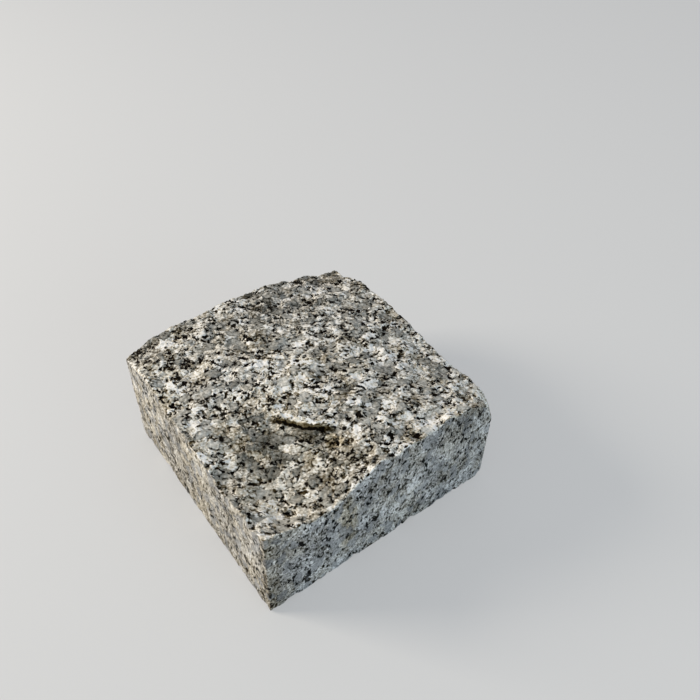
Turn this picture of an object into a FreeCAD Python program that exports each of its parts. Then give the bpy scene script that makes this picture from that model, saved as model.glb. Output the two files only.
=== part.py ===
"""Granite sett: a square paving stone with a flat bed, four sawn sides and a rough split top.

Millimetres. The origin is the middle of the bed, on the floor, and +Z is up.
The front side faces -Y, the right side +X, the back side +Y and the left side -X.
"""
import FreeCAD
import Part
import Sketcher

import math
import os

NODE = "granite_sett"

# The split is worked through this much spare stone above the finished sett and beyond its sides.
SPARE_STONE = 8.0
# Spacing of the points that carry the split face, fine enough for its smallest fall.
SPLIT_PITCH = 2.0
# Spacing of the places where the highest point of the split face is looked for.
CREST_PITCH = 1.0
# The swells are this many waves, each longer than the next by this factor and bent by the longer ones by
# this much, in radians. Each is turned from the next by the golden angle, so that no row of crests repeats.
SWELL_WAVES = 8
SWELL_STRETCH = 1.12
SWELL_BEND = 0.4
GOLDEN_ANGLE = math.pi * (3 - math.sqrt(5))

# Driving dimensions: name, value in millimetres or degrees, what it sets.
SIZES = [
    ("sett_length", 100.0, "overall size along X, over the sawn sides"),
    ("sett_width", 100.0, "overall size along Y, over the sawn sides"),
    ("sett_height", 50.0, "bed to the highest point of the split top"),
    ("left_corner_skew", 1.2, "front left corner, in from square along Y"),
    ("back_corner_skew", 0.8, "back left corner, in from square along X"),
    ("front_arris", 0.8, "rounding of the upright arris at the front right"),
    ("left_arris", 1.0, "rounding of the upright arris at the front left"),
    ("back_arris", 1.4, "rounding of the upright arris at the back left"),
    ("right_arris", 1.2, "rounding of the upright arris at the back right"),
    ("bed_arris", 0.4, "broken edge round the bed"),
    ("swell_pitch", 10.0, "swells of the split top, the shortest of them from crest to crest"),
    ("swell_height", 0.9, "swells of the split top, the usual height from hollow to crest"),
    ("swell_turn", 86.0, "swells of the split top, the way of the shortest, from X"),
    ("trough_from_right", 12.5, "front trough, in from the right side"),
    ("trough_from_front", 18.5, "front trough, in from the front side"),
    ("trough_reach", 32.0, "front trough, half length"),
    ("trough_spread", 21.0, "front trough, half width"),
    ("trough_turn", 24.0, "front trough, turn of its length from X"),
    ("trough_depth", 12.8, "front trough, depth"),
    ("front_fall_offset", -9.0, "fall to the front side, its middle along X"),
    ("front_fall_beyond", 4.0, "fall to the front side, its foot past the side"),
    ("front_fall_reach", 48.0, "fall to the front side, half length"),
    ("front_fall_spread", 26.0, "fall to the front side, half width"),
    ("front_fall_turn", -12.0, "fall to the front side, turn of its length from X"),
    ("front_fall_depth", 5.5, "fall to the front side, depth"),
    ("back_fall_offset", 28.0, "fall to the back side, its middle along X"),
    ("back_fall_beyond", 7.5, "fall to the back side, its foot past the side"),
    ("back_fall_reach", 40.0, "fall to the back side, half length"),
    ("back_fall_spread", 28.0, "fall to the back side, half width"),
    ("back_fall_turn", 3.0, "fall to the back side, turn of its length from X"),
    ("back_fall_depth", 7.3, "fall to the back side, depth"),
    ("right_fall_offset", 12.0, "fall to the right side, its middle along Y"),
    ("right_fall_beyond", 10.5, "fall to the right side, its foot past the side"),
    ("right_fall_reach", 13.5, "fall to the right side, half length along Y"),
    ("right_fall_spread", 21.0, "fall to the right side, half width"),
    ("right_fall_depth", 3.1, "fall to the right side, depth"),
    ("left_corner_beyond", 2.0, "fall at the front left corner, its foot past the corner"),
    ("left_corner_reach", 11.0, "fall at the front left corner, half width"),
    ("left_corner_depth", 5.8, "fall at the front left corner, depth"),
    ("back_corner_beyond", 4.0, "fall at the back left corner, its foot past the corner"),
    ("back_corner_reach", 21.0, "fall at the back left corner, half width along X"),
    ("back_corner_spread", 27.0, "fall at the back left corner, half width along Y"),
    ("back_corner_depth", 9.4, "fall at the back left corner, depth"),
    ("spall_beyond", 1.6, "spalled back right corner, its foot past the corner"),
    ("spall_reach", 5.6, "spalled back right corner, half width"),
    ("spall_depth", 15.0, "spalled back right corner, depth"),
    ("front_notch_offset", -16.0, "notch in the front edge, its middle along X"),
    ("front_notch_reach", 3.6, "notch in the front edge, half width"),
    ("front_notch_depth", 2.4, "notch in the front edge, depth"),
    ("front_knob_offset", 37.0, "knob on the front edge, its middle along X"),
    ("front_knob_reach", 2.8, "knob on the front edge, half width"),
    ("front_knob_rise", 2.6, "knob on the front edge, height"),
    ("right_knob_offset", -4.0, "knob on the right edge, its middle along Y"),
    ("right_knob_reach", 3.2, "knob on the right edge, half width"),
    ("right_knob_rise", 2.0, "knob on the right edge, height"),
    ("flake_from_right", 30.2, "middle of the flake's ledge, in from the right side"),
    ("flake_from_front", 35.7, "middle of the flake's ledge, in from the front side"),
    ("flake_turn", 36.0, "turn of the ledge from X"),
    ("flake_length", 25.0, "length of the ledge"),
    ("flake_run", 18.0, "how far the flake runs forward of its ledge"),
    ("flake_splay", 5.0, "how much further each end of the flake reaches at its front"),
    ("flake_depth", 2.1, "height of the ledge at its middle"),
    ("flake_dip", 8.0, "slope of the flake's bed, down towards the front"),
]

# Corners of the plan, counterclockwise: rounding, side along X, side along Y, skew along X, skew along Y.
CORNERS = [
    ("front_arris", 1, -1, "0", "0"),
    ("right_arris", 1, 1, "0", "0"),
    ("back_arris", -1, 1, "Sizes.back_corner_skew", "0"),
    ("left_arris", -1, -1, "0", "Sizes.left_corner_skew"),
]


def fill_sheet(doc):
    """Puts each driving dimension in the sheet, with its name as the cell's alias, and returns the sheet."""
    sheet = doc.addObject("Spreadsheet::Sheet", "Sizes")
    for row, (name, value, note) in enumerate(SIZES, start=1):
        sheet.set(f"A{row}", name)
        sheet.set(f"B{row}", str(value))
        sheet.set(f"C{row}", note)
        sheet.setAlias(f"B{row}", name)
    doc.recompute()
    return sheet


def origin_plane(body, role):
    """Returns one of the body's own origin planes."""
    return next(feature for feature in body.Origin.OriginFeatures if feature.Role == role)


def add_outline(body, name, inset, level):
    """Sketches a level outline of the block: four straight sides, nearly square, with rounded arrises.

    The outline stands in from the sawn sides by one expression, and over the floor by another.
    """
    sketch = body.newObject("Sketcher::SketchObject", name)
    sketch.AttachmentSupport = (origin_plane(body, "XY_Plane"), [""])
    sketch.MapMode = "FlatFace"
    sketch.setExpression("AttachmentOffset.Base.z", level)
    count = len(CORNERS)
    sides = range(count)
    arcs = range(count, 2 * count)
    points = range(2 * count, 3 * count)
    # It starts as a plain square, counterclockwise from the front right, and takes its sizes below.
    start_half = 45.0
    start_radius = 1.0
    starts = [FreeCAD.Vector(sign_x, sign_y, 0) * start_half for _, sign_x, sign_y, _, _ in CORNERS]
    for number, start in enumerate(starts):
        end = starts[(number + 1) % count]
        trim = (end - start).normalize() * start_radius
        sketch.addGeometry(Part.LineSegment(start + trim, end - trim))
    for number, (_, sign_x, sign_y, _, _) in enumerate(CORNERS):
        inwards = FreeCAD.Vector(-sign_x, -sign_y, 0) * start_radius
        circle = Part.Circle(starts[number] + inwards, FreeCAD.Vector(0, 0, 1), start_radius)
        quarter = math.pi / 2
        sketch.addGeometry(Part.ArcOfCircle(circle, (number - 1) * quarter, number * quarter))
    for start in starts:
        sketch.addGeometry(Part.Point(start), True)
    for number, (arris, sign_x, sign_y, skew_x, skew_y) in enumerate(CORNERS):
        before = sides[number - 1]
        sketch.addConstraint(Sketcher.Constraint("Tangent", before, 2, arcs[number], 1))
        sketch.addConstraint(Sketcher.Constraint("Tangent", arcs[number], 2, sides[number], 1))
        sketch.addConstraint(Sketcher.Constraint("PointOnObject", points[number], 1, before))
        sketch.addConstraint(Sketcher.Constraint("PointOnObject", points[number], 1, sides[number]))
        radius = sketch.addConstraint(Sketcher.Constraint("Radius", arcs[number], start_radius))
        sketch.setExpression(f"Constraints[{radius}]", f"Sizes.{arris}")
        for kind, sign, size, skew in (
            ("DistanceX", sign_x, "sett_length", skew_x),
            ("DistanceY", sign_y, "sett_width", skew_y),
        ):
            ends = (-1, 1, points[number], 1) if sign > 0 else (points[number], 1, -1, 1)
            datum = sketch.addConstraint(Sketcher.Constraint(kind, *ends, start_half))
            sketch.setExpression(f"Constraints[{datum}]", f"Sizes.{size} / 2 - {skew} - {inset}")
    return sketch


def add_sawn_block(doc):
    """Makes the sawn block that is later split: a bevel round the bed, then the sides straight up."""
    body = doc.addObject("PartDesign::Body", "SawnBlock")
    bed = add_outline(body, "BedOutline", "Sizes.bed_arris", "0")
    sawn = add_outline(body, "SawnOutline", "0", "Sizes.bed_arris")
    doc.recompute()
    bevel = body.newObject("PartDesign::AdditiveLoft", "BedArris")
    bevel.Profile = bed
    bevel.Sections = [(sawn, [""])]
    bevel.Ruled = True
    doc.recompute()
    sides = body.newObject("PartDesign::Pad", "SawnSides")
    sides.Profile = sawn
    sides.setExpression("Length", f"Sizes.sett_height + {SPARE_STONE} - Sizes.bed_arris")
    doc.recompute()
    return body


class SplitFace:
    """The split top as a height over the plan: level at the stone's height, with swells, less smooth falls."""

    def __init__(self, sheet):
        self.sheet = sheet
        self.half_x = sheet.sett_length / 2
        self.half_y = sheet.sett_width / 2
        self.falls = self.list_falls()
        xs = self.across(self.half_x, CREST_PITCH)
        ys = self.across(self.half_y, CREST_PITCH)
        self.least_drop = min(self.drop(x, y) for x in xs for y in ys)

    def list_falls(self):
        """Lists each fall as its middle, half length, half width, turn in degrees and depth.

        A knob is a fall of negative depth.
        """
        s = self.sheet
        return [
            (self.half_x - s.trough_from_right, s.trough_from_front - self.half_y,
             s.trough_reach, s.trough_spread, s.trough_turn, s.trough_depth),
            (s.front_fall_offset, -self.half_y - s.front_fall_beyond,
             s.front_fall_reach, s.front_fall_spread, s.front_fall_turn, s.front_fall_depth),
            (s.back_fall_offset, self.half_y + s.back_fall_beyond,
             s.back_fall_reach, s.back_fall_spread, s.back_fall_turn, s.back_fall_depth),
            (self.half_x + s.right_fall_beyond, s.right_fall_offset,
             s.right_fall_spread, s.right_fall_reach, 0.0, s.right_fall_depth),
            (-self.half_x - s.left_corner_beyond, -self.half_y - s.left_corner_beyond,
             s.left_corner_reach, s.left_corner_reach, 0.0, s.left_corner_depth),
            (-self.half_x - s.back_corner_beyond, self.half_y + s.back_corner_beyond,
             s.back_corner_reach, s.back_corner_spread, 0.0, s.back_corner_depth),
            (self.half_x + s.spall_beyond, self.half_y + s.spall_beyond,
             s.spall_reach, s.spall_reach, 0.0, s.spall_depth),
            (s.front_notch_offset, -self.half_y,
             s.front_notch_reach, s.front_notch_reach, 0.0, s.front_notch_depth),
            (s.front_knob_offset, -self.half_y,
             s.front_knob_reach, s.front_knob_reach, 0.0, -s.front_knob_rise),
            (self.half_x, s.right_knob_offset,
             s.right_knob_reach, s.right_knob_reach, 0.0, -s.right_knob_rise),
        ]

    def across(self, half, pitch):
        """Returns evenly spaced places from side to side, about the pitch apart."""
        steps = math.ceil(2 * half / pitch)
        return [half * (2 * step / steps - 1) for step in range(steps + 1)]

    def swell(self, x, y):
        """Returns how far the swells raise the face at a place on the plan."""
        total = 0.0
        for wave in reversed(range(SWELL_WAVES)):
            turn = math.radians(self.sheet.swell_turn) + wave * GOLDEN_ANGLE
            pitch = self.sheet.swell_pitch * SWELL_STRETCH ** wave
            along = x * math.cos(turn) + y * math.sin(turn)
            total += math.cos(2 * math.pi * along / pitch + SWELL_BEND * total)
        return total * self.sheet.swell_height / (2 * math.sqrt(SWELL_WAVES))

    def drop(self, x, y):
        """Returns how far the falls lower the face at a place on the plan, less what the swells raise it."""
        total = -self.swell(x, y)
        for middle_x, middle_y, reach, spread, turn, depth in self.falls:
            cosine = math.cos(math.radians(turn))
            sine = math.sin(math.radians(turn))
            along = ((x - middle_x) * cosine + (y - middle_y) * sine) / reach
            beside = ((y - middle_y) * cosine - (x - middle_x) * sine) / spread
            total += depth * math.exp(-along * along - beside * beside)
        return total

    def height(self, x, y):
        """Returns the height of the split face over the bed."""
        return self.sheet.sett_height + self.least_drop - self.drop(x, y)

    def waste(self):
        """Returns the stone that the split takes off, as a solid that runs out past the block all round."""
        xs = self.across(self.half_x + SPARE_STONE, SPLIT_PITCH)
        ys = self.across(self.half_y + SPARE_STONE, SPLIT_PITCH)
        face = Part.BSplineSurface()
        face.interpolate([[FreeCAD.Vector(x, y, self.height(x, y)) for y in ys] for x in xs])
        solid = face.toShape().extrude(FreeCAD.Vector(0, 0, self.sheet.sett_height + SPARE_STONE))
        return solid if solid.Volume > 0 else solid.reversed()


def add_split_waste(doc, split):
    """Adds the waste over the split face, which is cut away from the block."""
    waste = doc.addObject("Part::Feature", "SplitWaste")
    waste.Shape = split.waste()
    return waste


def add_flake(doc, sheet, split):
    """Adds the flake broken off the top: a slab with splayed ends, whose back edge leaves a crisp ledge."""
    flake = doc.addObject("Part::Wedge", "Flake")
    # Its own axes: X along the ledge to the right, Y from the front back to the ledge, Z up from its bed.
    extents = {
        "Xmin": "-Sizes.flake_length / 2 - Sizes.flake_splay",
        "Xmax": "Sizes.flake_length / 2 + Sizes.flake_splay",
        "X2min": "-Sizes.flake_length / 2",
        "X2max": "Sizes.flake_length / 2",
        "Ymin": "-Sizes.flake_run",
        "Ymax": "0",
        "Zmin": "0",
        "Z2min": "0",
        "Zmax": "Sizes.sett_height",
        "Z2max": "Sizes.sett_height",
    }
    for extent, size in extents.items():
        flake.setExpression(extent, size)
    x = split.half_x - sheet.flake_from_right
    y = sheet.flake_from_front - split.half_y
    ledge_foot = FreeCAD.Vector(x, y, split.height(x, y) - sheet.flake_depth)
    turn = FreeCAD.Rotation(FreeCAD.Vector(0, 0, 1), sheet.flake_turn)
    dip = FreeCAD.Rotation(FreeCAD.Vector(1, 0, 0), sheet.flake_dip)
    flake.Placement = FreeCAD.Placement(ledge_foot, turn.multiply(dip))
    doc.recompute()
    return flake


def add_cut(doc, name, base, tool):
    """Cuts one object out of another."""
    cut = doc.addObject("Part::Cut", name)
    cut.Base = base
    cut.Tool = tool
    doc.recompute()
    return cut


def check(doc, sub_part, stages):
    """Stops if an object failed, the stone isn't one valid solid, or a cut took nothing off."""
    for item in doc.Objects:
        if "Invalid" in item.State or "Error" in item.State:
            raise RuntimeError(f"{item.Name} failed: {item.State}")
    shape = sub_part.Shape
    if shape.isNull() or not shape.isValid() or len(shape.Solids) != 1:
        raise RuntimeError(f"{sub_part.Label} isn't one valid solid")
    for before, after in zip(stages, stages[1:]):
        if not 0 < after.Shape.Volume < before.Shape.Volume:
            raise RuntimeError(f"{after.Name} took nothing off {before.Name}")


def main():
    """Builds the stone and writes it to its file."""
    doc = FreeCAD.newDocument("GraniteSett")
    sheet = fill_sheet(doc)
    block = add_sawn_block(doc)
    split = SplitFace(sheet)
    split_block = add_cut(doc, "SplitBlock", block, add_split_waste(doc, split))
    sett = add_cut(doc, "Sett", split_block, add_flake(doc, sheet, split))
    sett.Label = NODE
    check(doc, sett, [block, split_block, sett])
    os.makedirs("parts", exist_ok=True)
    sett.Shape.exportStep(f"parts/{sett.Label}.step")
    box = sett.Shape.optimalBoundingBox(False)
    print(f"{sett.Label}: {box.XLength:.2f} x {box.YLength:.2f} x {box.ZLength:.2f} mm, "
          f"{sett.Shape.Volume / 1000:.1f} cm3, {len(sett.Shape.Faces)} faces")


main()
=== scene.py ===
"""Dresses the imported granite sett: a split top, sawn sides, crystal-sized relief and a speckled finish.

Metres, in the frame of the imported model: the origin is the middle of the bed, on the floor, and +Z is up.
The front side faces -Y, the right side +X, the back side +Y and the left side -X.
The finishes and the reliefs work in millimetres, in the same frame.
"""

import logging
import math
from collections.abc import Callable, Iterable
from dataclasses import dataclass
from enum import Enum

import bpy
from mathutils import Matrix, Vector

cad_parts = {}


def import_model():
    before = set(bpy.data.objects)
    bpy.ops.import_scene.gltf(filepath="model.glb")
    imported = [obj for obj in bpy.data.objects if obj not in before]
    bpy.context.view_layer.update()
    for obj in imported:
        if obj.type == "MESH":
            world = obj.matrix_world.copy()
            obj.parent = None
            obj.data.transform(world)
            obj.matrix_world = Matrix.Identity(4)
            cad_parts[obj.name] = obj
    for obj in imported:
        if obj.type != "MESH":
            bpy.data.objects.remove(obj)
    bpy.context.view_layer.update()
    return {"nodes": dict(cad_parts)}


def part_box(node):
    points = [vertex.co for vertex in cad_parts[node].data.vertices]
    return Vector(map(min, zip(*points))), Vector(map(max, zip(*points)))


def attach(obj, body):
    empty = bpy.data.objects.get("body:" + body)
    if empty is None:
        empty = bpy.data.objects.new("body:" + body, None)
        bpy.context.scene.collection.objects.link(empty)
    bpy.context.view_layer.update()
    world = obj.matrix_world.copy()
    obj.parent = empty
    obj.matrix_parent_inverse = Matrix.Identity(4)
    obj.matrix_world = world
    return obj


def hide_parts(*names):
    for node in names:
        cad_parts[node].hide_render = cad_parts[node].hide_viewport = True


LOG = logging.getLogger("granite_sett")
CAD_NODE = "granite_sett"
BODY = "root"
MM = 0.001

Colour = tuple[float, float, float]
Point = tuple[float, float, float]


class Value:
    """A node's output socket, with arithmetic on numbers that adds Math nodes."""

    def __init__(self, graph: "Graph", socket: bpy.types.NodeSocket | None) -> None:
        """Keeps the socket and the graph that it belongs to."""
        self.graph = graph
        self.socket = socket

    def other(self, output: str) -> "Value":
        """Another output of the same node."""
        return Value(self.graph, self.socket.node.outputs[output])

    def _math(self, operation: str, first: "Value | float", second: "Value | float") -> "Value":
        """Adds one Math node."""
        return self.graph.node("ShaderNodeMath", {"operation": operation}, {0: first, 1: second})

    def __add__(self, other: "Value | float") -> "Value":
        """self + other"""
        return self._math("ADD", self, other)

    def __radd__(self, other: float) -> "Value":
        """other + self"""
        return self._math("ADD", other, self)

    def __sub__(self, other: "Value | float") -> "Value":
        """self - other"""
        return self._math("SUBTRACT", self, other)

    def __rsub__(self, other: float) -> "Value":
        """other - self"""
        return self._math("SUBTRACT", other, self)

    def __mul__(self, other: "Value | float") -> "Value":
        """self * other"""
        return self._math("MULTIPLY", self, other)

    def __rmul__(self, other: float) -> "Value":
        """other * self"""
        return self._math("MULTIPLY", other, self)

    def at_least(self, other: "Value | float") -> "Value":
        """The larger of the two."""
        return self._math("MAXIMUM", self, other)

    def at_most(self, other: "Value | float") -> "Value":
        """The smaller of the two."""
        return self._math("MINIMUM", self, other)

    def fade(self, start: float, end: float) -> "Value":
        """Goes smoothly from 0 to 1 as the value goes from start to end."""
        inputs = {"Value": self, "From Min": start, "From Max": end}
        return self.graph.node("ShaderNodeMapRange", {"interpolation_type": "SMOOTHSTEP"}, inputs)


@dataclass(frozen=True)
class Warp:
    """How noise pushes a drawing about: the size of its lumps, and how far they push. Millimetres."""

    size: float
    reach: float


class Graph:
    """A node tree, of a material or of a relief, that is written as expressions."""

    # The numbers of the sockets that a Mix node has for mixing colours
    MIX_SHARE = 0
    MIX_FIRST = 6
    MIX_SECOND = 7
    MIX_RESULT = 2

    def __init__(self, tree: bpy.types.NodeTree) -> None:
        """Starts from an empty tree."""
        self.tree = tree
        tree.nodes.clear()

    def node(self, kind: str, settings: dict[str, object] | None = None,
             inputs: dict[int | str, object] | None = None, output: int | str = 0) -> Value:
        """Adds a node.

        Args:
            kind: the node's type.
            settings: its properties, set first.
            inputs: a value, or a Value to link, for each socket by name or number.
            output: the socket to return.

        Returns:
            The chosen output.
        """
        made = self.tree.nodes.new(kind)
        for name, setting in (settings or {}).items():
            setattr(made, name, setting)
        for key, value in (inputs or {}).items():
            if isinstance(value, Value):
                self.tree.links.new(value.socket, made.inputs[key])
            else:
                made.inputs[key].default_value = value
        return Value(self, made.outputs[output] if made.outputs else None)

    def vector(self, operation: str, first: "Value | Point", second: "Value | Point") -> Value:
        """Adds one Vector Math node that gives a vector."""
        return self.node("ShaderNodeVectorMath", {"operation": operation}, {0: first, 1: second})

    def scaled(self, whole: Value, factor: float) -> Value:
        """A vector times a number."""
        return self.vector("MULTIPLY", whole, (factor, factor, factor))

    def length(self, whole: Value) -> Value:
        """The length of a vector."""
        return self.node("ShaderNodeVectorMath", {"operation": "LENGTH"}, {0: whole}, "Value")

    def turned(self, place: Value, angle: float, middle: Point = (0.0, 0.0, 0.0)) -> Value:
        """A place turned about an upright line through the middle."""
        inputs = {"Vector": place, "Center": middle, "Angle": angle}
        return self.node("ShaderNodeVectorRotate", {"rotation_type": "Z_AXIS"}, inputs)

    def parts(self, whole: Value) -> tuple[Value, Value, Value]:
        """The three numbers of a colour or a vector."""
        first = self.node("ShaderNodeSeparateXYZ", {}, {0: whole}, "X")
        return first, first.other("Y"), first.other("Z")

    def mix(self, share: "Value | float", first: "Value | Colour", second: "Value | Colour") -> Value:
        """Mixes two colours.

        Args:
            share: the share of the second colour.
            first: the colour at 0.
            second: the colour at 1.

        Returns:
            The mixed colour.
        """
        ends = [colour if isinstance(colour, Value) else (*colour, 1.0) for colour in (first, second)]
        inputs = {self.MIX_SHARE: share, self.MIX_FIRST: ends[0], self.MIX_SECOND: ends[1]}
        settings = {"data_type": "RGBA", "blend_type": "MIX"}
        return self.node("ShaderNodeMix", settings, inputs, self.MIX_RESULT)

    def noise(self, place: Value, size: float, detail: float = 2.0, roughness: float = 0.5,
              output: int | str = 0) -> Value:
        """Smooth noise about 0.5, in lumps of about the given size."""
        inputs = {"Vector": place, "Scale": 1.0 / size, "Detail": detail, "Roughness": roughness}
        return self.node("ShaderNodeTexNoise", {"noise_dimensions": "3D"}, inputs, output)

    def _voronoi(self, feature: str, place: Value, size: float, output: str) -> Value:
        """Adds one Voronoi node, whose cells fill space and are of about the given size."""
        settings = {"voronoi_dimensions": "3D", "feature": feature}
        return self.node("ShaderNodeTexVoronoi", settings, {"Vector": place, "Scale": 1.0 / size}, output)

    def cells(self, place: Value, size: float) -> Value:
        """A random colour for each cell of about the given size."""
        return self._voronoi("F1", place, size, "Color")

    def seams(self, place: Value, size: float) -> Value:
        """The distance to the nearest seam between the same cells, as a share of their size."""
        return self._voronoi("DISTANCE_TO_EDGE", place, size, "Distance")

    def warped(self, place: Value, *warps: Warp) -> Value:
        """Pushes a place about by noise, so that what is drawn there has ragged edges.

        Args:
            place: the place to push.
            warps: the pushes, one after the other.

        Returns:
            The pushed place.
        """
        for warp in warps:
            noise = self.noise(place, warp.size, output="Color")
            push = self.vector("SUBTRACT", noise, (0.5, 0.5, 0.5))
            place = self.vector("ADD", place, self.scaled(push, warp.reach))
        return place


@dataclass(frozen=True)
class Lumps:
    """Random lumps of about one size, in millimetres, that carry finer ones.

    As a mask they are 0 where their noise is under start, and 1 where it is over end.
    """

    size: float
    detail: float = 2.0
    roughness: float = 0.5
    start: float = 0.0
    end: float = 1.0

    def noise(self, graph: Graph, place: Value) -> Value:
        """The lumps as noise about 0.5."""
        return graph.noise(place, self.size, self.detail, self.roughness)

    def swing(self, graph: Graph, place: Value) -> Value:
        """The lumps as noise about 0."""
        return self.noise(graph, place) - 0.5

    def mask(self, graph: Graph, place: Value) -> Value:
        """The lumps as a mask."""
        return self.noise(graph, place).fade(self.start, self.end)


@dataclass(frozen=True)
class Minerals:
    """What the stone holds at one place.

    Seam is 1 in the seams between crystals, quartz is 1 in the grey, glassy crystals, and mica is 1 in the
    dark flecks. Patch is about 0, and low where the stone is greyer. Shade and step are random for each
    crystal.
    """

    seam: Value
    quartz: Value
    mica: Value
    patch: Value
    shade: Value
    step: Value


@dataclass(frozen=True)
class Granite:
    """How the minerals lie in the stone. They run right through it, so all its faces share them.

    Sizes are in millimetres. The seams' width and reach are shares of a crystal's size. The amounts that end
    in mica say how much likelier mica is along seams, and how much less so in high patches and in quartz.
    """

    grain_turn: float = math.radians(51.8)
    grain: Lumps = Lumps(0.8, 2.0, 0.6)
    patch: Lumps = Lumps(4.6)
    zone: Lumps = Lumps(24.0)
    rust_veins: Lumps = Lumps(15.0, 3.0, 0.6, start=0.36, end=0.68)
    rust_grain: Lumps = Lumps(4.0)
    crystal_size: float = 3.3
    crystal_warps: tuple[Warp, ...] = (Warp(3.2, 2.2), Warp(1.0, 0.9))
    quartz_share: float = 0.26
    quartz_soft: float = 0.05
    seam_width: float = 0.09
    seam_reach: float = 0.25
    seam_mica: float = 0.10
    patch_mica: float = 0.42
    quartz_mica: float = 0.08
    fleck_size: float = 1.25
    speck_size: float = 0.72
    fleck_warps: tuple[Warp, ...] = (Warp(1.4, 2.0), Warp(0.6, 0.8))
    fleck_edge: tuple[float, float] = (-0.03, 0.05)
    speck_share: float = 0.8
    speck_strength: float = 0.65

    def along_grain(self, graph: Graph, place: Value, stretch: Point) -> Value:
        """The place in the grain's own axes, closed up so that what is drawn there is stretched."""
        return graph.vector("DIVIDE", graph.turned(place, -self.grain_turn), stretch)

    def minerals(self, graph: Graph, place: Value, mica_share: float) -> Minerals:
        """Lays out the crystals, with flecks of mica along their seams and fainter specks between them.

        Args:
            graph: the graph to draw in.
            place: the place in the grain's own axes.
            mica_share: the share of the stone that is mica, before seams, patches and quartz change it.

        Returns:
            What the stone holds at the place.
        """
        ragged = graph.warped(place, *self.crystal_warps)
        kind, shade, step = graph.parts(graph.cells(ragged, self.crystal_size))
        quartz = 1.0 - kind.fade(self.quartz_share - self.quartz_soft, self.quartz_share + self.quartz_soft)
        apart = graph.seams(ragged, self.crystal_size)
        patch = self.patch.swing(graph, place)
        reach = mica_share + self.seam_mica * (1.0 - apart.fade(0.0, self.seam_reach))
        reach = reach - self.patch_mica * patch - self.quartz_mica * quartz
        torn = graph.warped(place, *self.fleck_warps)
        fleck, _, _ = graph.parts(graph.cells(torn, self.fleck_size))
        speck, _, _ = graph.parts(graph.cells(torn, self.speck_size))
        flecks = 1.0 - (fleck - reach).fade(*self.fleck_edge)
        specks = 1.0 - (speck - self.speck_share * reach).fade(*self.fleck_edge)
        mica = flecks.at_least(self.speck_strength * specks)
        return Minerals(1.0 - apart.fade(0.0, self.seam_width), quartz, mica, patch, shade, step)


GRANITE = Granite()


@dataclass(frozen=True)
class Strip:
    """A strip beside the ledge, between two distances across it, with soft edges. Millimetres."""

    start: float
    end: float
    soft: float


@dataclass(frozen=True)
class PaintedLightStain(Strip):
    """A strip whose tone is painted light or shade, lighter or darker than the rest, and whose rust tints
    it browner. Breaks, if any, interrupt its tone.
    """

    tone: float
    rust: float
    breaks: Lumps | None = None


@dataclass(frozen=True)
class Ridge(Strip):
    """A strip that stands proud by its rise, or low if that is negative. Millimetres."""

    rise: float


@dataclass(frozen=True)
class Ledge:
    """The low step that a flake left on the top, with a crack along its foot. Millimetres.

    Along the crack, on the wall and on the apron below them the stone is painted in shade and shadow and
    tinted with rust; the lip over the wall is a painted highlight.

    Its ends are where its strips fade, as shares of its length from its middle. Its right end bends towards
    the back by the bow, in full at the bow's end and less and less over the fall beyond it. The stone on
    both sides of the wall bends with it, up to the bow's reach.
    """

    x: float = 19.8
    y: float = -14.3
    turn: float = math.radians(36.0)
    length: float = 26.0
    left_end: tuple[float, float] = (-0.62, -0.20)
    right_end: tuple[float, float] = (0.15, 0.54)
    bow: float = 3.0
    bow_end: float = 14.0
    bow_fall: float = 16.0
    bow_reach: float = 12.0
    edge: Warp = Warp(1.2, 0.7)
    wander: Lumps = Lumps(4.0)
    wander_width: float = 0.9
    # painted shadow of the undercut along the crack, tinted with rust; breaks interrupt the painted shadow
    crack: PaintedLightStain = PaintedLightStain(-1.05, -0.6, 0.2, tone=-0.60, rust=0.8, breaks=Lumps(3.0, start=0.25, end=0.5))
    # painted shade on the ledge's wall, tinted with rust
    wall: PaintedLightStain = PaintedLightStain(-0.65, 0.05, 0.2, tone=-0.13, rust=1.0)
    # painted highlight on the lip over the wall, tinted cream
    lip: PaintedLightStain = PaintedLightStain(0.15, 2.0, 0.3, tone=0.34, rust=0.5)
    # painted shadow below the crack, tinted a little with rust
    apron: PaintedLightStain = PaintedLightStain(-4.0, -0.9, 2.0, tone=-0.22, rust=0.3)
    groove: Ridge = Ridge(-1.1, -0.6, 0.3, rise=-0.35)
    rubble: Ridge = Ridge(-2.6, -0.8, 1.4, rise=0.8)

    def near(self, place: Vector, reach: float) -> bool:
        """True for a place that is within reach of the ledge's wall."""
        away = Matrix.Rotation(-self.turn, 3, "Z") @ Vector((place.x - self.x, place.y - self.y, 0.0))
        return abs(away.x) < self.length / 2 + reach and abs(away.y) < reach

    def across(self, graph: Graph, place: Value) -> tuple[Value, Value]:
        """Measures a place against the ledge.

        Args:
            graph: the graph to draw in.
            place: the place on the stone.

        Returns:
            The distance along the ledge, from its middle, and the distance across it, towards the back.
        """
        middle = (self.x, self.y, 0.0)
        turned = graph.turned(place, -self.turn, middle)
        along, across, _ = graph.parts(graph.vector("SUBTRACT", turned, middle))
        return along, across

    def bend(self, along: Value) -> Value:
        """How far the ledge bends towards the back at a place along it."""
        fall = along.fade(self.bow_end, self.bow_end + self.bow_fall)
        return self.bow * along.fade(0.0, self.bow_end) * (1.0 - fall)

    def mask(self, graph: Graph, place: Value, strip: Strip) -> Value:
        """Draws a strip beside the ledge.

        Args:
            graph: the graph to draw in.
            place: the place on the stone.
            strip: the strip.

        Returns:
            A mask that is 1 in the strip and fades at its edges and at the ledge's ends.
        """
        along, across = self.across(graph, graph.warped(place, self.edge))
        away = across - self.bend(along) + self.wander_width * self.wander.swing(graph, place)
        inner = away.fade(strip.start - strip.soft, strip.start)
        inner = inner * (1.0 - away.fade(strip.end, strip.end + strip.soft))
        left = along.fade(*(share * self.length for share in self.left_end))
        right = along.fade(*(share * self.length for share in self.right_end))
        return inner * (left * (1.0 - right))


LEDGE = Ledge()


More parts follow.
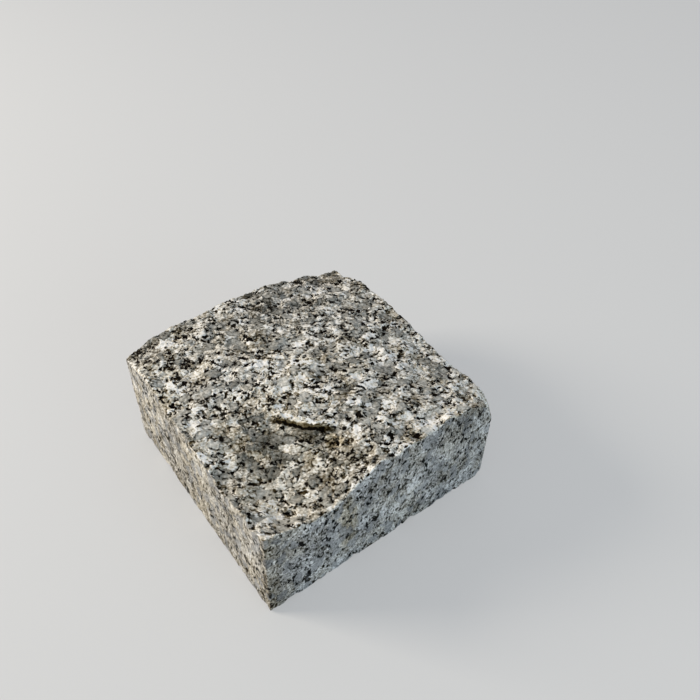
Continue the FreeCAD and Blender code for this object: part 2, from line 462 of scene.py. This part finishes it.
@dataclass(frozen=True)
class Mark:
    """A patch of the stone that is lighter or darker, and browner or greyer, than the rest. Millimetres.

    Its core is the share of its reach in which it shows in full.
    """

    middle: Point
    reach: Point
    tone: float
    rust: float
    core: float = 0.45

    def mask(self, graph: Graph, place: Value) -> Value:
        """A mask of the patch, soft at its edge."""
        away = graph.vector("DIVIDE", graph.vector("SUBTRACT", place, self.middle), self.reach)
        return 1.0 - graph.length(away).fade(self.core, 1.0)


@dataclass(frozen=True)
class GraniteFinish:
    """Speckled granite, as it looks on one kind of face.

    Amounts are in steps of seen brightness, from 0 for black to 1 for white, which gamma turns into light.

    Tone is how bright the stone is on the whole. Crystal, quartz, grain, patch, zone, mica and seam say how
    much each of these changes the tone, and mica_share how much mica there is. Stretch lengthens the
    minerals along the grain, across it and upwards. Bump and bump_depth make the finest relief, with a pit
    at each fleck.

    Cool, warm and glass are the tints of clean stone, of rusty stone and of quartz, which are added to the
    tone. Tilt says how much rustier dark stone is than light stone. Dark and bright limit the colour.

    Quartz_shade and quartz_even make the quartz crystals more alike, and quartz_tint is their share of the
    glass tint. Mica_least is how strong the faintest flecks are, and mica_spread how much stronger the
    others can be. Painted shade covers the low ground under the lower of its heights, thins out up to the
    upper one, and draws the tone towards its own; the low ground also gets a browner rust tint. This painted
    shade and the ledge's painted light and stains are drawn on a rough top alone.
    """

    name: str
    tone: float
    crystal: float
    quartz: float
    grain: float
    patch: float
    zone: float
    mica: float
    mica_share: float
    seam: float
    stretch: Point
    bump: float
    roughness: float
    cool: Colour
    warm: Colour
    glass: Colour
    dark: Colour
    bright: float
    tilt: float
    rough_top: bool
    marks: tuple[Mark, ...]
    mark_edge: Warp = Warp(3.0, 4.0)
    bump_depth: float = 0.4 * MM
    bump_pit: float = 0.3
    grain_roughness: float = 0.3
    mica_shine: float = 0.15
    shine: float = 0.05
    quartz_shade: float = 0.6
    quartz_even: float = 0.45
    quartz_tint: float = 0.8
    mica_least: float = 0.6
    mica_spread: float = 0.8
    rust_veins: float = 0.5
    rust_grain: float = 0.3
    rust_least: float = -0.1
    low_ground_heights: tuple[float, float] = (34.0, 46.0)
    low_shade_tone: float = 0.42
    low_shade_cover: float = 0.22
    low_ground_rust: float = 0.2
    gamma: float = 2.2

    def material(self) -> bpy.types.Material:
        """Makes the finish.

        Returns:
            The material, with colour, roughness and bump from the stone's own place in space.
        """
        made = bpy.data.materials.new(self.name)
        made.use_nodes = True
        graph = Graph(made.node_tree)
        place = graph.scaled(graph.node("ShaderNodeTexCoord", output="Object"), 1 / MM)
        grained = GRANITE.along_grain(graph, place, self.stretch)
        grain = GRANITE.grain.swing(graph, grained)
        minerals = GRANITE.minerals(graph, grained, self.mica_share)
        bump = graph.node("ShaderNodeBump", {}, {
            "Strength": self.bump, "Distance": self.bump_depth,
            "Height": grain - self.bump_pit * minerals.mica,
        })
        shader = graph.node("ShaderNodeBsdfPrincipled", {}, {
            "Base Color": self.colour(graph, place, grain, minerals),
            "Roughness": self.roughness + self.grain_roughness * grain - self.mica_shine * minerals.mica,
            "Normal": bump,
            "Specular IOR Level": self.shine,
        })
        graph.node("ShaderNodeOutputMaterial", {}, {"Surface": shader})
        return made

    def colour(self, graph: Graph, place: Value, grain: Value, minerals: Minerals) -> Value:
        """Draws the minerals, then their marks and rust, and the painted light, shade and stains of a rough
        top.

        Args:
            graph: the material's graph.
            place: the place on the stone, in millimetres.
            grain: the finest noise, about 0.
            minerals: what the stone holds at the place.

        Returns:
            The stone's colour.
        """
        tone = self.mineral_tone(graph, place, grain, minerals)
        rust = self.rust_veins * GRANITE.rust_veins.mask(graph, place)
        rust = rust + self.rust_grain * GRANITE.rust_grain.noise(graph, place) + self.rust_least
        ragged = graph.warped(place, self.mark_edge)
        for mark in self.marks:
            mask = mark.mask(graph, ragged)
            tone = tone + mark.tone * mask
            rust = rust + mark.rust * mask
        tint = graph.mix(rust - self.tilt * (tone - 0.5), self.cool, self.warm)
        tint = graph.mix(self.quartz_tint * minerals.quartz, tint, self.glass)
        # a rough top also gets painted light and shade, with rusty stains
        if self.rough_top:
            tone, tint = self.painted_light_and_stains(graph, place, tone, tint)
        seen = graph.vector("MAXIMUM", graph.vector("ADD", tint, tone), self.dark)
        seen = graph.vector("MINIMUM", seen, (self.bright, self.bright, self.bright))
        return graph.node("ShaderNodeGamma", {}, {"Color": seen, "Gamma": self.gamma})

    def mineral_tone(self, graph: Graph, place: Value, grain: Value, minerals: Minerals) -> Value:
        """Works out how bright the minerals are.

        Args:
            graph: the material's graph.
            place: the place on the stone, in millimetres.
            grain: the finest noise, about 0.
            minerals: what the stone holds at the place.

        Returns:
            The tone of clean stone.
        """
        shade = self.crystal * (minerals.shade - 0.5) * (1.0 - self.quartz_shade * minerals.quartz)
        uneven = 1.0 - self.quartz_even * minerals.quartz
        tone = self.tone + shade - self.quartz * minerals.quartz
        tone = tone + (self.grain * grain + self.patch * minerals.patch) * uneven
        tone = tone + self.zone * GRANITE.zone.swing(graph, place)
        tone = tone - self.mica * minerals.mica * (self.mica_least + self.mica_spread * minerals.step)
        return tone - self.seam * minerals.seam

    def painted_light_and_stains(self, graph: Graph, place: Value, tone: Value, tint: Value) -> tuple[Value, Value]:
        """Draws painted light and shade with rust along the ledge, and painted shade in the low ground.

        Args:
            graph: the material's graph.
            place: the place on the stone, in millimetres.
            tone: the tone of the stone so far.
            tint: its tint so far.

        Returns:
            The tone and the tint of the stone, with painted light and shade and with stains.
        """
        _, _, height = graph.parts(place)
        # painted shade in the low ground, which also takes a browner rust tint
        low_ground = 1.0 - height.fade(*self.low_ground_heights)
        rust = self.low_ground_rust * low_ground
        # painted shade, shadow and highlight along the ledge go into the tone, and its rust into the tint
        for painted_strip in (LEDGE.crack, LEDGE.wall, LEDGE.lip, LEDGE.apron):
            mask = LEDGE.mask(graph, place, painted_strip)
            rust = rust + painted_strip.rust * mask
            shown = mask * painted_strip.breaks.mask(graph, place) if painted_strip.breaks else mask
            tone = tone + painted_strip.tone * shown
        # painted shade: the low ground's tone is drawn towards low_shade_tone
        tone = tone - self.low_shade_cover * low_ground * (tone - self.low_shade_tone)
        return tone, graph.mix(rust, tint, self.warm)


SPLIT_GRANITE = GraniteFinish(
    "split_granite", tone=0.712, crystal=0.29, quartz=0.21, grain=1.45, patch=0.74, zone=0.18, mica=0.90,
    mica_share=0.105, seam=0.16, stretch=(1.3, 1.0, 1.0), bump=0.7, roughness=0.66, cool=(0.114, 0.1, 0.068),
    warm=(0.142, 0.1, 0.014), glass=(0.100, 0.1, 0.084), dark=(0.070, 0.048, 0.015), bright=0.95, tilt=1.1,
    rough_top=True, marks=(
        Mark((47.0, 23.0, 45.0), (5.0, 23.0, 30.0), 0.12, 0.2),
        Mark((5.0, 31.0, 46.0), (24.0, 7.0, 30.0), 0.07, 0.0),
        Mark((10.0, 29.5, 47.0), (6.5, 6.0, 30.0), 0.08, 0.2),
        Mark((-43.0, -42.0, 43.0), (9.0, 8.0, 30.0), -0.24, -0.4),
        Mark((-44.0, 42.0, 46.0), (11.0, 11.0, 30.0), -0.15, 0.0),
        Mark((-39.0, 5.0, 46.0), (14.0, 9.0, 30.0), -0.15, 0.0),
        Mark((-38.0, 28.0, 47.0), (10.0, 10.0, 30.0), 0.10, 0.0),
        Mark((-24.0, -18.0, 46.0), (11.0, 7.0, 30.0), -0.11, 0.0),
        Mark((-9.0, 4.0, 47.0), (17.0, 9.0, 30.0), 0.11, 0.2),
        Mark((30.0, 6.0, 45.0), (8.0, 7.0, 30.0), 0.13, 0.5),
        Mark((18.0, 6.0, 46.0), (6.0, 6.0, 30.0), -0.11, 0.1),
        Mark((10.0, -45.0, 40.0), (11.0, 6.0, 30.0), 0.13, 0.1),
        Mark((-26.0, 16.0, 47.0), (34.0, 32.0, 30.0), -0.07, -0.3),
        Mark((2.0, -9.0, 46.0), (22.0, 17.0, 30.0), 0.08, 0.2),
        Mark((41.0, 33.0, 44.0), (13.0, 15.0, 30.0), 0.10, 0.1),
        Mark((-20.0, -46.0, 42.0), (24.0, 9.0, 30.0), 0.06, 0.35),
        Mark((12.0, -29.0, 39.0), (22.0, 11.0, 30.0), -0.11, 0.1),
        Mark((37.0, -39.0, 36.0), (16.0, 10.0, 30.0), 0.12, 0.1),
        Mark((36.0, -14.0, 42.0), (12.0, 14.0, 30.0), -0.14, 0.2),
        Mark((30.5, -9.0, 42.0), (4.5, 3.5, 30.0), -0.06, 1.0),
    ),
)
SAWN_GRANITE = GraniteFinish(
    "sawn_granite", tone=0.565, crystal=0.15, quartz=0.07, grain=1.15, patch=0.46, zone=0.40, mica=0.58,
    mica_share=0.085, seam=0.0, stretch=(0.9, 0.9, 1.25), bump=0.35, roughness=0.7, cool=(0.098, 0.1, 0.102),
    warm=(0.125, 0.1, 0.045), glass=(0.095, 0.1, 0.105), dark=(0.050, 0.045, 0.040), bright=0.9, tilt=0.6,
    rough_top=False, marks=(
        Mark((50.0, -36.0, 35.0), (5.0, 13.0, 5.0), 0.05, -0.1),
        Mark((50.0, -46.0, 18.0), (6.0, 11.0, 40.0), -0.10, 0.0),
        Mark((24.0, -50.0, 9.0), (18.0, 8.0, 11.0), -0.08, 0.0),
        Mark((50.0, -17.0, 24.0), (9.0, 5.0, 20.0), -0.10, 0.8),
        Mark((0.0, -50.0, 22.0), (90.0, 8.0, 60.0), 0.005, 0.5),
    ),
)


class Face(Enum):
    """The two kinds of face, each with the number of its material slot."""

    SPLIT = 0
    SAWN = 1

    def finish(self) -> GraniteFinish:
        """The finish that dresses such faces."""
        return {Face.SPLIT: SPLIT_GRANITE, Face.SAWN: SAWN_GRANITE}[self]


class Element(Enum):
    """What is selected in edit mode, with the name of its select mode."""

    VERTEX = "VERT"
    EDGE = "EDGE"
    FACE = "FACE"

    def of(self, mesh: bpy.types.Mesh) -> bpy.types.bpy_prop_collection:
        """The mesh's elements of this kind."""
        return {Element.VERTEX: mesh.vertices, Element.EDGE: mesh.edges, Element.FACE: mesh.polygons}[self]


@dataclass(frozen=True)
class Chip:
    """A small place, round in plan, that is chipped away, or proud if its depth is negative. Millimetres."""

    x: float
    y: float
    reach: float
    depth: float

    def mask(self, graph: Graph, place: Value) -> Value:
        """Draws the chip.

        Args:
            graph: the graph to draw in.
            place: the place on the stone.

        Returns:
            A mask that is 1 in the chip's middle and fades to its edge.
        """
        x, y, _ = graph.parts(place)
        away = graph.node("ShaderNodeCombineXYZ", {}, {"X": x - self.x, "Y": y - self.y})
        return 1.0 - graph.length(away).fade(0.0, self.reach)


@dataclass
class SplitSett:
    """The stone itself: a fine grid on the CAD solid's split top, carried down its sides to the bed.

    Inset keeps the grid's corners on the solid as it is pressed down, and margin keeps the piece inside the
    solid's box. Lift is how far over the solid the grid starts, and what is taller than it is a side. Foot
    is the height under which the arrises stay sharp, bed_share is the share of the bed's faces that is kept,
    and crown is the highest that the top may be.
    """

    name: str = "split_granite_sett"

    # The mesh, in metres
    grid_steps: tuple[int, int] = (16, 14)
    side_rows: int = 30
    inset: float = 0.9985
    margin: float = 0.02 * MM
    lift: float = 20 * MM
    foot: float = 4 * MM
    bed_share: float = 0.2
    smoothing: float = 0.5
    ledge_passes: int = 3
    arris_passes: int = 3
    sharp_angle: float = math.radians(42)

    # The relief of the split top, in millimetres
    ledge_reach: float = 1.4
    crown: float = 49.9
    top_rise: float = 0.1
    swells: Lumps = Lumps(8.0, 3.0, 0.55)
    swell_rise: float = 0.8
    breaks: Lumps = Lumps(3.6, 3.0, 0.6)
    break_rise: float = 2.2
    grit: Lumps = Lumps(1.3, 2.0, 0.6)
    grit_rise: float = 1.1
    crystal_rise: float = 0.8
    mica_pit: float = 0.45
    chips: tuple[Chip, ...] = (
        Chip(-31.0, -50.0, 6.0, -1.2), Chip(22.0, -50.0, 7.0, 1.2), Chip(41.5, -50.0, 3.5, 2.4),
        Chip(50.0, 3.0, 4.0, 0.8), Chip(50.0, 26.0, 5.0, -1.2), Chip(50.0, -22.0, 5.0, 1.2),
        Chip(-50.0, 26.0, 3.5, 1.0), Chip(-50.0, 33.0, 5.0, -0.7), Chip(36.0, 50.0, 4.0, -1.0),
        Chip(25.0, 50.0, 6.0, 0.9), Chip(10.0, 29.5, 5.5, -0.9),
    )

    # The relief of the bed, in millimetres
    bed_reach: float = 0.5
    bed_lumps: Lumps = Lumps(3.2, 4.0, 0.65, start=0.46, end=0.75)
    bed_rise: float = 1.3
    foot_bites: Lumps = Lumps(1.5, start=0.5, end=0.72)
    foot_bite: float = 1.0
    foot_chips: tuple[Chip, ...] = (
        Chip(50.0, -41.0, 3.5, 1.3), Chip(50.0, -14.0, 3.0, 0.9), Chip(50.0, 12.0, 4.0, 1.0),
        Chip(-26.0, -50.0, 4.0, 1.3), Chip(-38.0, -50.0, 3.0, 0.9),
        Chip(49.8, 49.8, 2.5, 1.1), Chip(-49.0, 49.8, 2.5, 1.1),
    )

    # The relief of the sides, in millimetres
    hollows: Lumps = Lumps(5.0, 4.0, 0.6, start=0.44, end=0.78)
    front_rough: float = 0.8
    side_rough: float = 0.5
    side_fall: float = 4.0

    def build(self, cad: bpy.types.Object) -> bpy.types.Object:
        """Models the stone on the CAD solid.

        Args:
            cad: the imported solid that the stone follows.

        Returns:
            The finished mesh object.
        """
        piece = self.lay_grid(cad)
        self.press_on(piece, cad)
        self.draw_out(piece)
        self.soften_ledge(piece)
        self.relieve(piece, self.ledge_bow)
        self.relieve(piece, self.split_relief)
        self.carry_down(piece)
        self.relieve(piece, self.bed_relief)
        self.divide_sides(piece)
        self.thin_bed(piece)
        self.round_arrises(piece)
        self.relieve(piece, self.side_relief)
        self.relieve(piece, self.off_floor)
        self.shade(piece)
        return piece

    @staticmethod
    def only(piece: bpy.types.Object) -> None:
        """Makes a piece the only selected object, and the active one.

        Args:
            piece: the piece to select.
        """
        bpy.ops.object.select_all(action="DESELECT")
        piece.select_set(True)
        bpy.context.view_layer.objects.active = piece

    def pick(self, piece: bpy.types.Object, element: Element, chosen: Iterable[int]) -> None:
        """Goes into edit mode with only the chosen elements selected.

        Args:
            piece: the piece to edit.
            element: the kind of element.
            chosen: the numbers of the elements.
        """
        self.only(piece)
        bpy.ops.object.mode_set(mode="EDIT")
        bpy.ops.mesh.select_mode(type=element.value)
        bpy.ops.mesh.select_all(action="DESELECT")
        bpy.ops.object.mode_set(mode="OBJECT")
        elements = element.of(piece.data)
        for number in chosen:
            elements[number].select = True
        bpy.ops.object.mode_set(mode="EDIT")

    @staticmethod
    def corner(cad: bpy.types.Object, side_x: float, side_y: float) -> Vector:
        """The point of the CAD solid that is furthest out towards one corner of its plan."""
        return max((vertex.co for vertex in cad.data.vertices), key=lambda co: side_x * co.x + side_y * co.y)

    def lay_grid(self, cad: bpy.types.Object) -> bpy.types.Object:
        """Adds a plane over the stone, draws its corners to the plan's corners and divides it finely.

        Args:
            cad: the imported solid.

        Returns:
            The grid, level and clear of the solid.
        """
        low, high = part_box(CAD_NODE)
        middle = (low + high) / 2
        over = (middle.x, middle.y, high.z + self.lift)
        bpy.ops.object.select_all(action="DESELECT")
        bpy.ops.mesh.primitive_plane_add(size=high.x - low.x, location=over)
        piece = bpy.context.active_object
        piece.name = self.name
        piece.data.name = self.name
        bpy.ops.object.transform_apply(location=True, rotation=True, scale=True)
        for number in range(len(piece.data.vertices)):
            start = piece.data.vertices[number].co.copy()
            end = self.corner(cad, math.copysign(1, start.x), math.copysign(1, start.y)) * self.inset
            self.pick(piece, Element.VERTEX, [number])
            bpy.ops.transform.translate(value=(end.x - start.x, end.y - start.y, 0))
            bpy.ops.object.mode_set(mode="OBJECT")
        bpy.ops.object.mode_set(mode="EDIT")
        bpy.ops.mesh.select_all(action="SELECT")
        for steps in self.grid_steps:
            bpy.ops.mesh.subdivide(number_cuts=steps - 1)
        bpy.ops.object.mode_set(mode="OBJECT")
        return piece

    def press_on(self, piece: bpy.types.Object, cad: bpy.types.Object) -> None:
        """Presses the grid straight down on to the CAD solid.

        Args:
            piece: the grid.
            cad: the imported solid.
        """
        self.only(piece)
        press = piece.modifiers.new("press", "SHRINKWRAP")
        press.target = cad
        press.wrap_method = "PROJECT"
        press.use_project_z = True
        press.use_negative_direction = True
        press.use_positive_direction = False
        bpy.ops.object.modifier_apply(modifier=press.name)

    def draw_out(self, piece: bpy.types.Object) -> None:
        """Widens the pressed grid to the CAD solid's own box, less a hair's breadth.

        Args:
            piece: the pressed grid.
        """
        low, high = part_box(CAD_NODE)
        own = [vertex.co for vertex in piece.data.vertices]
        least = Vector((min(co.x for co in own), min(co.y for co in own), 0.0))
        most = Vector((max(co.x for co in own), max(co.y for co in own), 0.0))
        wide = (high.x - low.x - 2 * self.margin) / (most.x - least.x)
        deep = (high.y - low.y - 2 * self.margin) / (most.y - least.y)
        shift = (low + high - least - most) / 2
        bpy.ops.object.mode_set(mode="EDIT")
        bpy.ops.mesh.select_all(action="SELECT")
        bpy.ops.transform.resize(value=(wide, deep, 1), center_override=(least + most) / 2)
        bpy.ops.transform.translate(value=(shift.x, shift.y, 0))
        bpy.ops.object.mode_set(mode="OBJECT")

    def soften_ledge(self, piece: bpy.types.Object) -> None:
        """Smooths the grid along the ledge's wall, where it would be a row of small steps.

        Args:
            piece: the pressed grid.
        """
        chosen = [vertex.index for vertex in piece.data.vertices
                  if LEDGE.near(vertex.co / MM, self.ledge_reach)]
        self.pick(piece, Element.VERTEX, chosen)
        bpy.ops.mesh.vertices_smooth(factor=self.smoothing, repeat=self.ledge_passes)
        bpy.ops.object.mode_set(mode="OBJECT")

    def relieve(self, piece: bpy.types.Object, relief: Callable[[Graph, Value], Value]) -> None:
        """Moves the mesh by a relief, with a modifier that is then applied.

        Args:
            piece: the piece to move.
            relief: draws the move, in millimetres, from a vertex's place in millimetres.
        """
        self.only(piece)
        tree = bpy.data.node_groups.new("relief", "GeometryNodeTree")
        tree.interface.new_socket("Geometry", in_out="INPUT", socket_type="NodeSocketGeometry")
        tree.interface.new_socket("Geometry", in_out="OUTPUT", socket_type="NodeSocketGeometry")
        graph = Graph(tree)
        mesh = graph.node("NodeGroupInput")
        place = graph.scaled(graph.node("GeometryNodeInputPosition"), 1 / MM)
        offset = graph.scaled(relief(graph, place), MM)
        moved = graph.node("GeometryNodeSetPosition", {}, {"Geometry": mesh, "Offset": offset})
        graph.node("NodeGroupOutput", {}, {"Geometry": moved})
        modifier = piece.modifiers.new("relief", "NODES")
        modifier.node_group = tree
        bpy.ops.object.modifier_apply(modifier=modifier.name)
        bpy.data.node_groups.remove(tree)

    @staticmethod
    def upwards(graph: Graph, rise: Value) -> Value:
        """A vector that points straight up, as long as the rise."""
        return graph.node("ShaderNodeCombineXYZ", {}, {"Z": rise})

    def ledge_bow(self, graph: Graph, place: Value) -> Value:
        """Bends the right end of the ledge's wall towards the back.

        Args:
            graph: the relief's graph.
            place: the place on the stone.

        Returns:
            The move, level and square to the ledge.
        """
        along, across = LEDGE.across(graph, place)
        away = across.at_least(0.0 - across)
        shift = LEDGE.bend(along) * (1.0 - away.fade(LEDGE.bow, LEDGE.bow_reach))
        return graph.node("ShaderNodeCombineXYZ", {}, {
            "X": -math.sin(LEDGE.turn) * shift, "Y": math.cos(LEDGE.turn) * shift,
        })

    def split_relief(self, graph: Graph, place: Value) -> Value:
        """Draws the rough split top: swells, crystals at their own heights, and pits where mica fell out.

        Args:
            graph: the relief's graph.
            place: the place on the stone.

        Returns:
            The move, straight up or down.
        """
        grained = GRANITE.along_grain(graph, place, SPLIT_GRANITE.stretch)
        minerals = GRANITE.minerals(graph, grained, SPLIT_GRANITE.mica_share)
        rise = self.swell_rise * self.swells.swing(graph, place)
        rise = rise + self.break_rise * self.breaks.swing(graph, grained)
        rise = rise + self.crystal_rise * (minerals.step - 0.5)
        rise = rise + self.grit_rise * self.grit.swing(graph, grained)
        rise = rise - self.mica_pit * minerals.mica
        for ridge in (LEDGE.groove, LEDGE.rubble):
            rise = rise + ridge.rise * LEDGE.mask(graph, place, ridge)
        rise = rise + self.top_rise
        for chip in self.chips:
            rise = rise - chip.depth * chip.mask(graph, place)
        _, _, height = graph.parts(place)
        return self.upwards(graph, rise.at_most(self.crown - height))

    def bed_relief(self, graph: Graph, place: Value) -> Value:
        """Draws the rough bed, which touches the floor in places and stands a little off it elsewhere.

        Args:
            graph: the relief's graph.
            place: the place on the stone.

        Returns:
            The move, straight up.
        """
        _, _, height = graph.parts(place)
        on_bed = 1.0 - height.fade(0.0, self.bed_reach)
        rise = self.bed_rise * self.bed_lumps.mask(graph, place)
        rise = rise + self.foot_bite * self.foot_bites.mask(graph, place)
        for chip in self.foot_chips:
            rise = rise + chip.depth * chip.mask(graph, place)
        return self.upwards(graph, on_bed * rise)

    def side_relief(self, graph: Graph, place: Value) -> Value:
        """Draws the sides, which stand in a little from their planes in places, the front side most.

        Args:
            graph: the relief's graph.
            place: the place on the stone.

        Returns:
            The move, level and inwards.
        """
        low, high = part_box(CAD_NODE)
        x, y, _ = graph.parts(place)
        hollows = self.hollows.mask(graph, place)
        front = self.front_rough * self.beside(y - low.y / MM)
        back = self.side_rough * self.beside(high.y / MM - y)
        left = self.side_rough * self.beside(x - low.x / MM)
        right = self.side_rough * self.beside(high.x / MM - x)
        return graph.node("ShaderNodeCombineXYZ", {}, {
            "X": hollows * (left - right), "Y": hollows * (front - back),
        })

    def beside(self, away: Value) -> Value:
        """A mask that is 1 on a side's plane and fades with the distance from it."""
        return 1.0 - away.fade(0.0, self.side_fall)

    def off_floor(self, graph: Graph, place: Value) -> Value:
        """Lifts what the thinning of the bed left just under the floor."""
        _, _, height = graph.parts(place)
        return self.upwards(graph, (0.0 - height).at_least(0.0))

    def carry_down(self, piece: bpy.types.Object) -> None:
        """Extrudes the split top down to a flat bed on the floor, and marks the sides as sawn.

        Args:
            piece: the split top.
        """
        self.only(piece)
        bpy.ops.object.mode_set(mode="EDIT")
        bpy.ops.mesh.select_all(action="SELECT")
        bpy.ops.mesh.extrude_region_move(TRANSFORM_OT_translate={"value": (0, 0, -self.lift)})
        bpy.ops.transform.resize(value=(1, 1, 0), center_override=(0, 0, 0))
        bpy.ops.mesh.select_all(action="SELECT")
        bpy.ops.mesh.normals_make_consistent(inside=False)
        bpy.ops.object.mode_set(mode="OBJECT")
        for face in piece.data.polygons:
            tall = self.is_tall(piece, face.vertices)
            face.material_index = (Face.SAWN if tall else Face.SPLIT).value

    def is_tall(self, piece: bpy.types.Object, corners: Iterable[int]) -> bool:
        """True for an edge or a face that goes from the bed up to the top, by its corners' numbers."""
        heights = [piece.data.vertices[number].co.z for number in corners]
        return max(heights) - min(heights) > self.lift

    def divide_sides(self, piece: bpy.types.Object) -> None:
        """Divides the upright edges of the sides into rows.

        Args:
            piece: the stone, with sides of one row.
        """
        chosen = [edge.index for edge in piece.data.edges if self.is_tall(piece, edge.vertices)]
        self.pick(piece, Element.EDGE, chosen)
        bpy.ops.mesh.subdivide(number_cuts=self.side_rows - 1)
        bpy.ops.object.mode_set(mode="OBJECT")

    def thin_bed(self, piece: bpy.types.Object) -> None:
        """Thins the faces of the bed, which needs fewer of them than the top.

        Args:
            piece: the stone.
        """
        chosen = [face.index for face in piece.data.polygons
                  if face.center.z < self.lift and face.material_index == Face.SPLIT.value]
        self.pick(piece, Element.FACE, chosen)
        bpy.ops.mesh.decimate(ratio=self.bed_share)
        bpy.ops.object.mode_set(mode="OBJECT")

    def round_arrises(self, piece: bpy.types.Object) -> None:
        """Rounds off the edge between the top and the sides, and the four upright edges.

        Args:
            piece: the stone.
        """
        x, y, z = range(3)
        meeting: list[set[int]] = [set() for _ in piece.data.vertices]
        for face in piece.data.polygons:
            sawn = face.material_index == Face.SAWN.value
            facing = max((x, y), key=lambda axis: abs(face.normal[axis])) if sawn else z
            for number in face.vertices:
                meeting[number].add(facing)
        chosen = [vertex.index for vertex in piece.data.vertices
                  if len(meeting[vertex.index]) > 1 and vertex.co.z > self.foot]
        self.pick(piece, Element.VERTEX, chosen)
        bpy.ops.mesh.vertices_smooth(factor=self.smoothing, repeat=self.arris_passes)
        bpy.ops.object.mode_set(mode="OBJECT")

    def shade(self, piece: bpy.types.Object) -> None:
        """Smooths the shading except where faces meet at a sharp angle, and dresses the faces.

        Args:
            piece: the stone.
        """
        self.only(piece)
        bpy.ops.object.shade_smooth_by_angle(angle=self.sharp_angle)
        for face in Face:
            piece.data.materials.append(face.finish().material())


@dataclass(frozen=True)
class Lamp:
    """A square soft lamp that faces a point."""

    name: str
    place: Point
    target: Point
    size: float
    power: float
    colour: Colour

    def add(self) -> bpy.types.Object:
        """Adds the lamp to the scene.

        Returns:
            The lamp.
        """
        data = bpy.data.lights.new(self.name, "AREA")
        data.shape = "SQUARE"
        data.size = self.size
        data.energy = self.power
        data.color = self.colour
        lamp = bpy.data.objects.new(self.name, data)
        lamp.location = self.place
        facing = Vector(self.target) - Vector(self.place)
        lamp.rotation_euler = facing.to_track_quat("-Z", "Y").to_euler()
        bpy.context.scene.collection.objects.link(lamp)
        return lamp


@dataclass
class Studio:
    """The pale floor, the soft light and the camera.

    The focal length and the image's width are in the photograph's pixels, and the angles are in radians.
    """

    floor_size: float = 6.0
    floor_colour: Colour = (0.68, 0.685, 0.69)
    floor_roughness: float = 0.85
    floor_shine: float = 0.1
    floor_glow: float = 0.45
    backdrop_colour: Colour = (0.70, 0.705, 0.71)
    ambient_colour: Colour = (0.96, 0.99, 1.03)
    ambient_strength: float = 0.46
    lamps: tuple[Lamp, ...] = (
        Lamp("key", (-0.66, -0.74, 0.52), (0.0, 0.0, 0.025), 0.40, 11.0, (1.0, 0.91, 0.78)),
        Lamp("fill", (0.90, 0.10, 0.30), (0.0, 0.0, 0.025), 0.5, 1.9, (0.62, 0.87, 1.0)),
    )
    focal_px: float = 743.26
    image_px: float = 700.0
    sensor_mm: float = 36.0
    azimuth: float = math.radians(51.77)
    elevation: float = math.radians(43.47)
    roll: float = 0.0268
    target: Point = (-5.18 * MM, 25.01 * MM, 40.0 * MM)
    distance: float = 292.92 * MM
    nearest: float = 10 * MM

    def add_floor(self) -> bpy.types.Object:
        """Adds the floor, which isn't part of the object.

        Returns:
            The floor.
        """
        bpy.ops.object.select_all(action="DESELECT")
        bpy.ops.mesh.primitive_plane_add(size=self.floor_size)
        floor = bpy.context.active_object
        floor.name = "floor"
        made = bpy.data.materials.new("pale_floor")
        made.use_nodes = True
        graph = Graph(made.node_tree)
        shader = graph.node("ShaderNodeBsdfPrincipled", {}, {
            "Base Color": (*self.floor_colour, 1.0), "Roughness": self.floor_roughness,
            "Specular IOR Level": self.floor_shine,
        })
        glow = graph.node("ShaderNodeEmission", {}, {"Color": (*self.backdrop_colour, 1.0), "Strength": 1.0})
        seen = graph.node("ShaderNodeLightPath", output="Is Camera Ray")
        shown = graph.node("ShaderNodeMixShader", {}, {0: self.floor_glow * seen, 1: shader, 2: glow})
        graph.node("ShaderNodeOutputMaterial", {}, {"Surface": shown})
        floor.data.materials.append(made)
        return floor

    def light(self) -> None:
        """Adds the lamps, and a world that is pale to the camera and cool on the stone."""
        for lamp in self.lamps:
            lamp.add()
        world = bpy.data.worlds.new("studio")
        bpy.context.scene.world = world
        world.use_nodes = True
        graph = Graph(world.node_tree)
        ambient = graph.node("ShaderNodeBackground", {}, {
            "Color": (*self.ambient_colour, 1.0), "Strength": self.ambient_strength,
        })
        backdrop = graph.node("ShaderNodeBackground", {}, {
            "Color": (*self.backdrop_colour, 1.0), "Strength": 1.0,
        })
        seen = graph.node("ShaderNodeLightPath", output="Is Camera Ray")
        shown = graph.node("ShaderNodeMixShader", {}, {0: seen, 1: ambient, 2: backdrop})
        graph.node("ShaderNodeOutputWorld", {}, {"Surface": shown})

    def add_camera(self) -> bpy.types.Object:
        """Adds the camera at the photograph's viewing angle.

        Returns:
            The camera.
        """
        back = Vector((
            math.sin(self.azimuth) * math.cos(self.elevation),
            -math.cos(self.azimuth) * math.cos(self.elevation),
            math.sin(self.elevation),
        ))
        level = Vector((math.cos(self.azimuth), math.sin(self.azimuth), 0.0))
        upright = back.cross(level)
        right = level * math.cos(self.roll) + upright * math.sin(self.roll)
        up = back.cross(right)
        data = bpy.data.cameras.new("camera")
        data.sensor_width = self.sensor_mm
        data.lens = self.sensor_mm * self.focal_px / self.image_px
        data.clip_start = self.nearest
        camera = bpy.data.objects.new("camera", data)
        turn = Matrix((right, up, back)).transposed().to_4x4()
        camera.matrix_world = Matrix.Translation(Vector(self.target) + back * self.distance) @ turn
        bpy.context.scene.collection.objects.link(camera)
        bpy.context.scene.camera = camera
        return camera


def main() -> None:
    """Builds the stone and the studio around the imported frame."""
    logging.basicConfig(level=logging.INFO, format="%(name)s: %(message)s")
    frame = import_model()
    bpy.context.scene.view_settings.view_transform = "Standard"
    stone = SplitSett().build(frame["nodes"][CAD_NODE])
    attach(stone, BODY)
    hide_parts(CAD_NODE)
    triangles = sum(len(face.vertices) - 2 for face in stone.data.polygons)
    LOG.info("%s: %d triangles", stone.name, triangles)
    studio = Studio()
    studio.add_floor()
    studio.light()
    studio.add_camera()
    LOG.info("studio: floor, %d lamps and the camera", len(studio.lamps))


if __name__ == "__main__":
    main()
